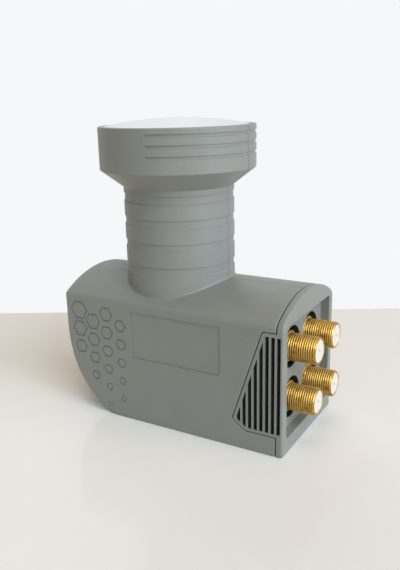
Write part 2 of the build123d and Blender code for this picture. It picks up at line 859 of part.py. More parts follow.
for number, (y, z) in enumerate(connector_places, start=1):
    along = Plane((0, y, z), x_dir=(1, 0, 0), z_dir=(0, -1, 0))
    axis = Axis((0, y, z), (1, 0, 0))

    with BuildPart() as connector_shell:
        with BuildSketch(along) as shell_profile:
            with BuildLine():
                Polyline(
                    (cavity_end, shell_bore_radius),
                    (cavity_end, spigot_radius),
                    (collar_back, spigot_radius),
                    (collar_back, collar_radius),
                    (collar_front, collar_radius),
                    (collar_front, barrel_radius),
                    (barrel_tip - barrel_chamfer, barrel_radius),
                    (barrel_tip, barrel_radius - barrel_chamfer),
                    (barrel_tip, insulator_radius + insulator_clearance),
                    (insulator_back, insulator_radius + insulator_clearance),
                    (insulator_back, shell_bore_radius),
                    close=True,
                )
            make_face()
        revolve(axis=axis)
    connector_shell.part.label = f"connector_shell_{number}"
    export_step(connector_shell.part, f"parts/connector_shell_{number}.step")

    with BuildPart() as connector_insulator:
        with BuildSketch(along):
            with BuildLine():
                Polyline(
                    (insulator_back, contact_radius + insulator_clearance),
                    (insulator_back, insulator_radius),
                    (insulator_tip, insulator_radius),
                    (insulator_tip, pilot_radius),
                    (contact_tip, pilot_radius),
                    (contact_tip, contact_radius + insulator_clearance),
                    close=True,
                )
            make_face()
        revolve(axis=axis)
    connector_insulator.part.label = f"connector_insulator_{number}"
    export_step(connector_insulator.part, f"parts/connector_insulator_{number}.step")

    landing = board_top if z > connector_mid_height else board_bottom
    with BuildPart() as connector_contact:
        with BuildSketch(along):
            with BuildLine():
                Polyline(
                    (insulator_back, 0),
                    (insulator_back, contact_radius),
                    (contact_tip, contact_radius),
                    (contact_tip, contact_bore),
                    (contact_tip - contact_bore_depth, contact_bore),
                    (contact_tip - contact_bore_depth, 0),
                    close=True,
                )
            make_face()
        revolve(axis=axis)
        with BuildLine(along) as tail:
            FilletPolyline(
                (insulator_back, 0),
                (contact_tail_reach, 0),
                (contact_tail_reach, landing - z),
                radius=contact_bend,
            )
        with BuildSketch(Plane(tail.line @ 0, z_dir=tail.line % 0)):
            Circle(contact_wire_radius)
        sweep()
    connector_contact.part.label = f"connector_contact_{number}"
    export_step(connector_contact.part, f"parts/connector_contact_{number}.step")
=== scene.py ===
"""Looks of a four-output satellite LNB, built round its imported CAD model."""

import json
import math

import bmesh
import bpy
from bpy.props import FloatProperty, FloatVectorProperty, IntProperty, PointerProperty
from mathutils import Matrix, Vector


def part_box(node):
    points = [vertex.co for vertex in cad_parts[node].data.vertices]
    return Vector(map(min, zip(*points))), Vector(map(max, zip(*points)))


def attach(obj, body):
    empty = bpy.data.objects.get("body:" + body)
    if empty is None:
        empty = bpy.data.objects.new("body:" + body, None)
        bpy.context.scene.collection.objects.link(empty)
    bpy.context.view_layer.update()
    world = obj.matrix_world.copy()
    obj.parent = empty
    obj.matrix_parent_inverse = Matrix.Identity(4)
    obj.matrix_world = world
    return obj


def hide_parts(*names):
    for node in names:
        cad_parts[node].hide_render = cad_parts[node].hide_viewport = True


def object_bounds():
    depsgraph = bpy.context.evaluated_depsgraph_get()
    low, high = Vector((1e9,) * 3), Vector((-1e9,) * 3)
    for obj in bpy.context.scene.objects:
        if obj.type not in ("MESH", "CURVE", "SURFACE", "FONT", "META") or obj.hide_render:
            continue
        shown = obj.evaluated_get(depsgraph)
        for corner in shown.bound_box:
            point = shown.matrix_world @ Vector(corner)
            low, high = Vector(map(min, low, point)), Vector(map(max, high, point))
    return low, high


bl_info = {
    "name": "Satellite LNB",
    "version": (1, 0, 0),
    "blender": (4, 5, 0),
    "location": "View3D > Sidebar > LNB",
    "description": "Dresses the packed LNB: mouldings, plated threads, feed cap, inner parts and stage",
    "category": "Object",
}

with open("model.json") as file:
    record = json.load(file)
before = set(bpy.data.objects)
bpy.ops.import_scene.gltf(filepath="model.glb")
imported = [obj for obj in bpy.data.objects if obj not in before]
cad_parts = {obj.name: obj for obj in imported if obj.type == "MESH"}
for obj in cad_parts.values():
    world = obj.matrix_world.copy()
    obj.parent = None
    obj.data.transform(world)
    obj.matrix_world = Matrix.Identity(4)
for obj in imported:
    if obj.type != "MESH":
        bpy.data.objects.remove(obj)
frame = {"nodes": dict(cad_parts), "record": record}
cad_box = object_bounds()

MM = 0.001
CASE_BODY = "lnb"
SHIELD_BODY = "shield"
CONNECTOR_NUMBERS = (1, 2, 3, 4)
SHELL_LOW, SHELL_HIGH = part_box("connector_shell_1")
CASE_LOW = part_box("housing_front")[0]
SHIELD_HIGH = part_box("weather_shield")[1]
NODE_SLOTS = {part["node"]: part["material_slot"] for part in frame["record"]["subparts"]}

# Where the weather shield's slots and access holes are: depths from its side, setbacks from its front
WING_DEPTH = 3.2 * MM
WING_MIDDLE = Vector((SHIELD_HIGH.x - 6.4 * MM, 0.0, 20.0 * MM))
SLOT_LIP = 0.2 * MM
SLOT_FLOOR = 2.4 * MM
SLOTS_FRONT, SLOTS_BACK = 1.0 * MM, 18.6 * MM
SLOTS_LOW, SLOTS_HIGH = 7.2 * MM, 43.4 * MM
HOLE_FRONT, HOLE_BACK = 3.35 * MM, 4.6 * MM

# Faces within this distance of the plane between the case's halves are on the joint
JOINT_REACH = 0.1 * MM

# Least share of a normal along an axis for a face to lean that way, face it, or be square to it
LEANS, FACES, SQUARE = 0.7, 0.9, 0.98

# Corners of loose triangles nearer than the first are joined, and edges shorter than the second dropped
JOIN_DISTANCE = 0.0005 * MM
SLIVER_LENGTH = 0.0001 * MM

# Edges steeper than these angles, in degrees, stay crisp
MOULDING_ANGLE = 32.0
THREAD_ANGLE = 55.0

# Share of a turn between the thread of one connector and that of the next
THREAD_TURN_STEP = 0.27

# How each finish looks: mottle is its scale and share of the colour, grain its scale and height
SURFACES = {
    "housing_grey": {"roughness": 0.50, "mottle": (130.0, 0.05), "grain": (5200.0, 0.012 * MM)},
    "cap_white": {"roughness": 0.42, "mottle": (90.0, 0.02), "grain": (3800.0, 0.012 * MM)},
    "connector_gold": {
        "roughness": 0.45, "mottle": (420.0, 0.06), "grain": (2600.0, 0.001 * MM), "metallic": 1.0,
    },
    "insulator_white": {"roughness": 0.45, "mottle": (300.0, 0.03), "grain": (4200.0, 0.010 * MM)},
    "contact_brass": {
        "roughness": 0.28, "mottle": (500.0, 0.10), "grain": (4200.0, 0.008 * MM), "metallic": 1.0,
    },
    "chassis_metal": {
        "roughness": 0.55, "mottle": (220.0, 0.10), "grain": (3000.0, 0.020 * MM), "metallic": 1.0,
    },
    "seal_rubber": {
        "roughness": 0.70, "mottle": (260.0, 0.20), "grain": (4600.0, 0.030 * MM), "specular": 0.2,
    },
    "board_green": {"roughness": 0.38, "mottle": (380.0, 0.18), "grain": (2400.0, 0.015 * MM)},
    "board_part_black": {"roughness": 0.50, "mottle": (600.0, 0.15), "grain": (5200.0, 0.012 * MM)},
    "sheet_metal": {
        "roughness": 0.30, "mottle": (340.0, 0.06), "grain": (3200.0, 0.010 * MM), "metallic": 1.0,
    },
    "bush_white": {"roughness": 0.44, "mottle": (420.0, 0.03), "grain": (4600.0, 0.010 * MM)},
    "screw_steel": {
        "roughness": 0.32, "mottle": (460.0, 0.08), "grain": (3600.0, 0.010 * MM), "metallic": 1.0,
    },
}

# Scale of the tarnished patches on the plating
TARNISH_SCALE = 460.0

# Lamps: heading from +X and rise in degrees, and colour
LAMPS = {
    "key": (0.0, 15.0, (0.80, 0.83, 1.0)),
    "front": (-35.0, 40.0, (0.80, 0.94, 1.0)),
    "back": (135.0, 35.0, (0.85, 0.91, 1.0)),
    "top": (0.0, 88.0, (1.0, 0.78, 0.46)),
}


class LnbFinishes(bpy.types.PropertyGroup):
    """Colours of the LNB's materials, one for each of the record's slots, and of what darkens them"""

    housing_grey: FloatVectorProperty(
        name="Housing", description="Grey of the moulded case and weather shield",
        subtype="COLOR", size=3, min=0.0, max=1.0, default=(0.252, 0.266, 0.240),
    )
    cap_white: FloatVectorProperty(
        name="Feed cap", description="White of the cap over the feedhorn",
        subtype="COLOR", size=3, min=0.0, max=1.0, default=(0.76, 0.785, 0.795),
    )
    connector_gold: FloatVectorProperty(
        name="Plating", description="Gold-coloured plating of the connectors",
        subtype="COLOR", size=3, min=0.0, max=1.0, default=(0.655, 0.435, 0.122),
    )
    insulator_white: FloatVectorProperty(
        name="Insulators", description="White plastic in the connectors' ends",
        subtype="COLOR", size=3, min=0.0, max=1.0, default=(0.77, 0.735, 0.66),
    )
    contact_brass: FloatVectorProperty(
        name="Contacts", description="Brass of the contacts and probes",
        subtype="COLOR", size=3, min=0.0, max=1.0, default=(0.72, 0.53, 0.24),
    )
    chassis_metal: FloatVectorProperty(
        name="Chassis", description="Cast metal of the chassis and its cover",
        subtype="COLOR", size=3, min=0.0, max=1.0, default=(0.30, 0.305, 0.31),
    )
    # The gasket's black also stands as painted shade behind the weather shield's access holes; on the cap's
    # seal it is the rubber's own colour
    seal_rubber: FloatVectorProperty(
        name="Seals", description="Black rubber of the gasket and the cap's seal",
        subtype="COLOR", size=3, min=0.0, max=1.0, default=(0.009, 0.009, 0.009),
    )
    board_green: FloatVectorProperty(
        name="Board", description="Green of the circuit board",
        subtype="COLOR", size=3, min=0.0, max=1.0, default=(0.035, 0.17, 0.075),
    )
    board_part_black: FloatVectorProperty(
        name="Chip", description="Black of the board's chip",
        subtype="COLOR", size=3, min=0.0, max=1.0, default=(0.028, 0.028, 0.032),
    )
    sheet_metal: FloatVectorProperty(
        name="Cans", description="Tinned sheet of the board's cans",
        subtype="COLOR", size=3, min=0.0, max=1.0, default=(0.62, 0.62, 0.63),
    )
    bush_white: FloatVectorProperty(
        name="Bushes", description="White plastic round the probes",
        subtype="COLOR", size=3, min=0.0, max=1.0, default=(0.82, 0.82, 0.79),
    )
    screw_steel: FloatVectorProperty(
        name="Screws", description="Steel of the cover's screws",
        subtype="COLOR", size=3, min=0.0, max=1.0, default=(0.54, 0.55, 0.57),
    )
    # Painted shade: this colour darkens the faces inside the weather shield's slots and access holes and on
    # the joint between the case halves, where shade falls
    dirt: FloatVectorProperty(
        name="Shading_paint", description="Dark dirt in the slots, holes and joints of the mouldings",
        subtype="COLOR", size=3, min=0.0, max=1.0, default=(0.055, 0.055, 0.048),
    )
    # Partly painted shade: this colour darkens the thread valleys, where shade falls, and also gives the
    # plating its tarnished patches
    tarnish: FloatVectorProperty(
        name="Tarnish_shade", description="Darker plating between the threads' ridges and in patches",
        subtype="COLOR", size=3, min=0.0, max=1.0, default=(0.315, 0.168, 0.030),
    )


class LnbThread(bpy.types.PropertyGroup):
    """Sizes of the thread on the connectors, 3/8 inch with 32 turns to the inch"""

    pitch: FloatProperty(
        name="Pitch", description="Distance from one ridge to the next",
        unit="LENGTH", default=25.4 * MM / 32, precision=5,
    )
    depth: FloatProperty(
        name="Depth", description="Height of the ridges",
        unit="LENGTH", default=0.26 * MM, precision=5,
    )
    major_radius: FloatProperty(
        name="Major radius", description="Radius over the ridges",
        unit="LENGTH", default=4.7625 * MM, precision=5,
    )
    barrel_length: FloatProperty(
        name="Barrel length", description="Length of the threaded barrel",
        unit="LENGTH", default=10.6 * MM, precision=5,
    )
    chamfer: FloatProperty(
        name="Chamfer", description="Bevel on the barrel's front edge",
        unit="LENGTH", default=0.5 * MM, precision=5,
    )
    collar_length: FloatProperty(
        name="Collar length", description="Length of the plain collar behind the barrel",
        unit="LENGTH", default=2.7 * MM, precision=5,
    )
    spigot_radius: FloatProperty(
        name="Spigot radius", description="Radius of the part pressed into the chassis",
        unit="LENGTH", default=4.0 * MM, precision=5,
    )
    mouth_radius: FloatProperty(
        name="Mouth radius", description="Radius of the hole for the insulator",
        unit="LENGTH", default=3.9 * MM, precision=5,
    )
    mouth_depth: FloatProperty(
        name="Mouth depth", description="Depth of the hole for the insulator",
        unit="LENGTH", default=7.95 * MM, precision=5,
    )
    bore_radius: FloatProperty(
        name="Bore radius", description="Radius of the hole for the contact's wire",
        unit="LENGTH", default=1.6 * MM, precision=5,
    )
    around: IntProperty(name="Segments", description="Faces round each barrel", default=72, min=12)
    per_turn: IntProperty(name="Steps a turn", description="Profile steps for each ridge", default=8, min=4)


class LnbRelief(bpy.types.PropertyGroup):
    """Sizes of the plain cell pattern cut into the case's side near the nose"""

    cell_radius: FloatProperty(
        name="Cell radius", description="Radius of the largest cell",
        unit="LENGTH", default=3.6 * MM, precision=5,
    )
    cell_pitch: FloatProperty(
        name="Cell pitch", description="Distance from one cell to the next",
        unit="LENGTH", default=7.2 * MM, precision=5,
    )
    line_width: FloatProperty(
        name="Line width", description="Width of the cut line round the largest cell",
        unit="LENGTH", default=0.8 * MM, precision=5,
    )
    depth: FloatProperty(
        name="Depth", description="Depth of the cut lines",
        unit="LENGTH", default=0.35 * MM, precision=5,
    )


class LnbStage(bpy.types.PropertyGroup):
    """Floor, lamps and camera"""

    floor_colour: FloatVectorProperty(
        name="Floor", description="Colour of the pale floor",
        subtype="COLOR", size=3, min=0.0, max=1.0, default=(0.99, 0.978, 0.962),
    )
    floor_mirror: FloatProperty(
        name="Floor mirror", description="Share of the floor's light that is mirrored",
        default=0.03, min=0.0, max=1.0,
    )
    floor_gloss: FloatProperty(
        name="Floor gloss", description="Roughness of the floor's mirror", default=0.12, min=0.0, max=1.0,
    )
    wall_colour: FloatVectorProperty(
        name="Backdrop", description="Colour of the pale background",
        subtype="COLOR", size=3, min=0.0, max=1.0, default=(0.925, 0.93, 0.945),
    )
    ambient: FloatProperty(name="Ambient", description="Strength of the even light", default=0.15, min=0.0)
    ambient_colour: FloatVectorProperty(
        name="Ambient colour", description="Colour of the even light",
        subtype="COLOR", size=3, min=0.0, max=1.0, default=(1.0, 0.77, 0.63),
    )
    key_power: FloatProperty(
        name="Key lamp", description="Power of the low lamp at the connectors' end",
        unit="POWER", default=98.0, min=0.0,
    )
    front_power: FloatProperty(
        name="Front lamp", description="Power of the higher lamp in front of the connectors' end",
        unit="POWER", default=94.0, min=0.0,
    )
    back_power: FloatProperty(
        name="Back lamp", description="Power of the lamp behind the nose",
        unit="POWER", default=21.0, min=0.0,
    )
    top_power: FloatProperty(
        name="Top lamp", description="Power of the warm lamp overhead",
        unit="POWER", default=36.0, min=0.0,
    )
    lamp_distance: FloatProperty(
        name="Lamp distance", description="Distance of the lamps from the LNB",
        unit="LENGTH", default=4.0, min=0.3,
    )
    lamp_spread: FloatProperty(
        name="Lamp size", description="Side of each lamp as a share of its distance", default=0.6, min=0.0,
    )
    floor_reach: FloatProperty(
        name="Floor reach", description="Distance from the LNB to the floor's far edge",
        unit="LENGTH", default=0.113, min=0.06,
    )
    floor_half_width: FloatProperty(
        name="Floor half width", description="Distance from the LNB to the floor's other edges",
        unit="LENGTH", default=0.6, min=0.2,
    )
    floor_turn: FloatProperty(
        name="Floor turn", description="Turn of the floor's far edge from square to the view",
        subtype="ANGLE", unit="ROTATION", default=math.radians(2.1),
    )
    camera_place: FloatVectorProperty(
        name="Camera", description="Place of the camera",
        subtype="TRANSLATION", unit="LENGTH", size=3, default=(0.126331, -0.201496, 0.115772),
    )
    camera_turn: FloatVectorProperty(
        name="Yaw, pitch, roll", description="Directions of the camera",
        subtype="EULER", unit="ROTATION", size=3,
        default=(math.radians(30.455), math.radians(16.008), math.radians(-1.363)),
    )
    lens: FloatProperty(name="Lens", description="Focal length in millimetres", default=41.28, min=1.0)


class Graph:
    """Short way to add nodes to a tree and link them"""

    def __init__(self, tree):
        self.tree = tree

    def add(self, kind, inputs=None, **settings):
        node = self.tree.nodes.new(kind)
        for key, value in settings.items():
            setattr(node, key, value)
        for key, value in (inputs or {}).items():
            self.feed(node.inputs[key], value)
        return node

    def feed(self, socket, value):
        if isinstance(value, bpy.types.NodeSocket):
            self.tree.links.new(value, socket)
        else:
            socket.default_value = value

    def math(self, operation, *values):
        kind = "ShaderNodeMath"
        return self.add(kind, dict(enumerate(values)), operation=operation).outputs[0]

    def noise(self, coords, scale, detail=2.0, roughness=0.5):
        inputs = {"Vector": coords, "Scale": scale, "Detail": detail, "Roughness": roughness}
        return self.add("ShaderNodeTexNoise", inputs).outputs["Fac"]

    def spread(self, factor, low, high, start=0.3, end=0.7):
        inputs = {"Value": factor, "From Min": start, "From Max": end, "To Min": low, "To Max": high}
        return self.add("ShaderNodeMapRange", inputs).outputs["Result"]


def shade(colour, factor):
    """The colour made lighter or darker, with an alpha of 1"""
    return (*[min(1.0, channel * factor) for channel in colour], 1.0)


def surface_material(name, colour, roughness, mottle, grain, metallic=0.0, specular=0.5):
    """A finish with cloudy colour, uneven gloss and fine grain.

    mottle is (scale, share of colour); grain is (scale, height in metres)."""
    speck_ratio = 9.0
    cloud_share = 0.65
    ramp_start = 0.32
    gloss_spread = 0.12
    grain_strength = 0.6
    mottle_scale, mottle_share = mottle
    grain_scale, grain_height = grain
    material = bpy.data.materials.new(name)
    material.use_nodes = True
    graph = Graph(material.node_tree)
    principled = material.node_tree.nodes["Principled BSDF"]
    coords = graph.add("ShaderNodeTexCoord").outputs["Object"]
    cloud = graph.noise(coords, mottle_scale, detail=4.0, roughness=0.6)
    speck = graph.noise(coords, mottle_scale * speck_ratio, detail=2.0, roughness=0.6)
    clouds = graph.math("MULTIPLY", cloud, cloud_share)
    specks = graph.math("MULTIPLY", speck, 1.0 - cloud_share)
    both = graph.math("ADD", clouds, specks)
    ramp = graph.add("ShaderNodeValToRGB", {"Fac": both})
    dark, light = ramp.color_ramp.elements
    dark.position = ramp_start
    dark.color = shade(colour, 1.0 - mottle_share)
    light.position = 1.0 - ramp_start
    light.color = shade(colour, 1.0 + mottle_share)
    graph.feed(principled.inputs["Base Color"], ramp.outputs["Color"])
    gloss = graph.spread(cloud, roughness * (1.0 - gloss_spread), roughness * (1.0 + gloss_spread))
    graph.feed(principled.inputs["Roughness"], gloss)
    principled.inputs["Metallic"].default_value = metallic
    principled.inputs["Specular IOR Level"].default_value = specular
    fine = graph.noise(coords, grain_scale, detail=2.0, roughness=0.55)
    bump = graph.add("ShaderNodeBump", {"Height": fine, "Strength": grain_strength, "Distance": grain_height})
    graph.feed(principled.inputs["Normal"], bump.outputs["Normal"])
    return material


def paint_valley_shade_and_patches(material, shade_and_patch_colour, patch_scale=None):
    """Paints shade into a material with a second, darker colour where the mesh's valley attribute rises, and
    adds cloudy patches of that colour as tarnished plating when a patch scale is given
    """
    valley_power = 1.4
    patch_strength = 0.95
    patch_start, patch_end = 0.46, 0.62
    graph = Graph(material.node_tree)
    principled = material.node_tree.nodes["Principled BSDF"]
    valley = graph.add("ShaderNodeAttribute", attribute_name="valley").outputs["Fac"]
    amount = graph.math("POWER", valley, valley_power)
    if patch_scale:
        coords = graph.add("ShaderNodeTexCoord").outputs["Object"]
        cloud = graph.noise(coords, patch_scale, detail=3.0, roughness=0.65)
        patches = graph.spread(cloud, 0.0, patch_strength, start=patch_start, end=patch_end)
        amount = graph.math("MAXIMUM", amount, patches)
    clean = principled.inputs["Base Color"].links[0].from_socket
    mix = graph.add("ShaderNodeMix", data_type="RGBA")
    graph.feed(mix.inputs["Factor"], amount)
    graph.feed(mix.inputs["A"], clean)
    graph.feed(mix.inputs["B"], (*shade_and_patch_colour, 1.0))
    graph.feed(principled.inputs["Base Color"], mix.outputs["Result"])


def finish(slot):
    """The material of one of the record's slots, made once"""
    name = f"lnb_{slot}"
    if name in bpy.data.materials:
        return bpy.data.materials[name]
    colours = bpy.context.scene.lnb_finishes
    material = surface_material(name, getattr(colours, slot), **SURFACES[slot])
    if slot == "housing_grey":
        # Painted shade in the moulding's slots, access holes and joint faces
        paint_valley_shade_and_patches(material, colours.dirt)
    if slot == "connector_gold":
        # Painted shade in the thread valleys, and tarnished patches
        paint_valley_shade_and_patches(material, colours.tarnish, TARNISH_SCALE)
    return material


def new_piece(name, mesh, slot, nodes, body):
    """Links a mesh as a finished piece that stands for its CAD nodes"""
    piece = bpy.data.objects.new(name, mesh)
    bpy.context.scene.collection.objects.link(piece)
    mesh.materials.clear()
    mesh.materials.append(finish(slot))
    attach(piece, body)
    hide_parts(*nodes)


def merged_copy(node):
    """A copy of a CAD node's mesh with its loose triangles joined"""
    mesh = frame["nodes"][node].data.copy()
    mesh.name = f"{node}_copy"
    mesh.attributes.remove(mesh.attributes["custom_normal"])
    editable = bmesh.new()
    editable.from_mesh(mesh)
    bmesh.ops.remove_doubles(editable, verts=editable.verts, dist=JOIN_DISTANCE)
    bmesh.ops.dissolve_degenerate(editable, edges=editable.edges, dist=SLIVER_LENGTH)
    editable.to_mesh(mesh)
    editable.free()
    return mesh


def soft_normals(mesh, angle=MOULDING_ANGLE):
    """Smooth shading with crisp edges, where broad faces stay flat up to their rounds"""
    mesh.shade_smooth()
    mesh.set_sharp_from_angle(angle=math.radians(angle))
    holder = bpy.data.objects.new("normals_holder", mesh)
    bpy.context.scene.collection.objects.link(holder)
    weighted = holder.modifiers.new("weighted", "WEIGHTED_NORMAL")
    weighted.keep_sharp = True
    weighted.weight = 100
    result = plain_mesh(holder)
    bpy.data.objects.remove(holder)
    return result


def plain_mesh(holder):
    """The evaluated mesh of an object, free of its modifiers"""
    bpy.context.view_layer.update()
    depsgraph = bpy.context.evaluated_depsgraph_get()
    return bpy.data.meshes.new_from_object(
        holder.evaluated_get(depsgraph), preserve_all_data_layers=True, depsgraph=depsgraph)


def dress(node, ending, body=CASE_BODY, painted_shade_test=None):
    """Replaces a CAD node by a smooth-shaded copy of itself, with painted shade on the faces that a test
    picks
    """
    mesh = merged_copy(node)
    if painted_shade_test:
        mark_painted_shade(mesh, painted_shade_test)
    new_piece(f"{node}_{ending}", soft_normals(mesh), NODE_SLOTS[node], [node], body)


def mark_painted_shade(mesh, painted_shade_test):
    """Sets the valley attribute, which carries painted shade, on the faces whose centre and normal pass the
    test
    """
    marks = mesh.attributes.new("valley", "FLOAT", "FACE").data
    for face in mesh.polygons:
        marks[face.index].value = float(painted_shade_test(face.center, face.normal))


def on_joint(centre, normal):
    """Whether a face is where the case's halves meet"""
    return abs(centre.y) < JOINT_REACH and abs(normal.y) > FACES


def in_shield_opening(centre, normal):
    """Whether a face is inside one of the weather shield's slots or access holes"""
    depth = SHIELD_HIGH.y - abs(centre.y)
    setback = SHIELD_HIGH.x - centre.x
    if depth > WING_DEPTH:
        return HOLE_FRONT < setback < HOLE_BACK and abs(normal.x) < LEANS
    within_slots = SLOTS_FRONT < setback < SLOTS_BACK and SLOTS_LOW < centre.z < SLOTS_HIGH
    if depth < SLOT_LIP or not within_slots:
        return False
    if abs(normal.y) > LEANS:
        return depth > SLOT_FLOOR
    inward = WING_MIDDLE - centre
    return abs(normal.x) > SQUARE or normal.x * inward.x + normal.z * inward.z > 0.0


def new_node_tree(name, inputs):
    """An empty geometry tree with the given inputs, as (kind, name) pairs, and one geometry output"""
    tree = bpy.data.node_groups.new(name, "GeometryNodeTree")
    tree.interface.new_socket("Geometry", in_out="INPUT", socket_type="NodeSocketGeometry")
    for kind, label in inputs:
        tree.interface.new_socket(label, in_out="INPUT", socket_type=kind)
    tree.interface.new_socket("Geometry", in_out="OUTPUT", socket_type="NodeSocketGeometry")
    return tree


def run_tree(tree, mesh, values):
    """Runs a geometry tree on a mesh and returns the plain mesh that it makes"""
    holder = bpy.data.objects.new("tree_holder", mesh)
    bpy.context.scene.collection.objects.link(holder)
    modifier = holder.modifiers.new("nodes", "NODES")
    modifier.node_group = tree
    for socket in tree.interface.items_tree:
        if socket.item_type == "SOCKET" and socket.in_out == "INPUT" and socket.name in values:
            modifier[socket.identifier] = values[socket.name]
    result = plain_mesh(holder)
    bpy.data.objects.remove(holder)
    bpy.data.meshes.remove(mesh)
    return result


def finish_tree(graph, geometry):
    """Ends a tree in Realize Instances, Set Material and its output"""
    source = graph.tree.nodes["Group Input"]
    whole = graph.add("GeometryNodeRealizeInstances", {"Geometry": geometry})
    coloured = graph.add(
        "GeometryNodeSetMaterial", {"Geometry": whole.outputs[0], "Material": source.outputs["Material"]})
    graph.add("NodeGroupOutput", {"Geometry": coloured.outputs[0]})


def cell_tree():
    """Geometry nodes: a six-sided ring on each point, as large as the point's size attribute says"""
    tree = new_node_tree("cell_rings", (
        ("NodeSocketFloat", "Cell Radius"),
        ("NodeSocketFloat", "Line Width"),
        ("NodeSocketFloat", "Depth"),
        ("NodeSocketMaterial", "Material"),
    ))
    graph = Graph(tree)
    source = graph.add("NodeGroupInput", name="Group Input")
    ring = graph.add(
        "GeometryNodeCurvePrimitiveCircle", {"Resolution": 6, "Radius": source.outputs["Cell Radius"]})
    both_sides = graph.math("MULTIPLY", source.outputs["Depth"], 2.0)
    section = graph.add(
        "GeometryNodeCurvePrimitiveQuadrilateral",
        {"Width": source.outputs["Line Width"], "Height": both_sides})
    cell = graph.add(
        "GeometryNodeCurveToMesh", {"Curve": ring.outputs[0], "Profile Curve": section.outputs[0]})
    size = graph.add("GeometryNodeInputNamedAttribute", {"Name": "size"}, data_type="FLOAT")
    scale = graph.add("ShaderNodeCombineXYZ", {"X": size.outputs[0], "Y": size.outputs[0], "Z": 1.0})
    cells = graph.add("GeometryNodeInstanceOnPoints", {
        "Points": source.outputs["Geometry"], "Instance": cell.outputs[0],
        "Rotation": (math.pi / 2, 0.0, 0.0), "Scale": scale.outputs[0],
    })
    finish_tree(graph, cells.outputs[0])
    return tree


def cell_points(relief):
    """Points of a six-sided lattice on the case's side, whose cells shrink away from the top of the nose"""
    nose_centre = Vector((-13.5 * MM, 33.5 * MM))
    nose_reach, nose_drop = 24.3 * MM, 33.5 * MM
    first = Vector((-31.6 * MM, 40.1 * MM))
    columns, rows = 4, 6
    fade_reach = 52.0 * MM
    edge_margin = 1.2 * MM
    side = CASE_LOW.y + 5.0 * MM
    column_step = relief.cell_pitch * math.sqrt(0.75)
    mesh = bpy.data.meshes.new("cell_points")
    places, sizes = [], []
    for column in range(columns):
        for row in range(rows):
            x = first.x + column * column_step
            z = first.y - (row + 0.5 * (column % 2)) * relief.cell_pitch
            size = 1.0 - (Vector((x, z)) - first).length / fade_reach
            margin = size * (relief.cell_radius + relief.line_width) + edge_margin
            across = min(0.0, x - nose_centre.x) / (nose_reach - margin)
            down = min(0.0, z - nose_centre.y) / (nose_drop - margin)
            if across * across + down * down <= 1.0:
                places.append((x, side, z))
                sizes.append(size)
    mesh.from_pydata(places, [], [])
    mesh.attributes.new("size", "FLOAT", "POINT").data.foreach_set("value", sizes)
    return mesh


def cut(mesh, cutter):
    """The mesh with the cutter's solids taken out of it"""
    holder = bpy.data.objects.new("cut_holder", mesh)
    tool = bpy.data.objects.new("cut_tool", cutter)
    for item in (holder, tool):
        bpy.context.scene.collection.objects.link(item)
    boolean = holder.modifiers.new("cut", "BOOLEAN")
    boolean.operation = "DIFFERENCE"
    boolean.solver = "MANIFOLD"
    boolean.object = tool
    result = plain_mesh(holder)
    for item in (holder, tool):
        bpy.data.objects.remove(item)
    if len(result.vertices) <= len(mesh.vertices):
        raise RuntimeError("the relief did not cut into the case")
    return result


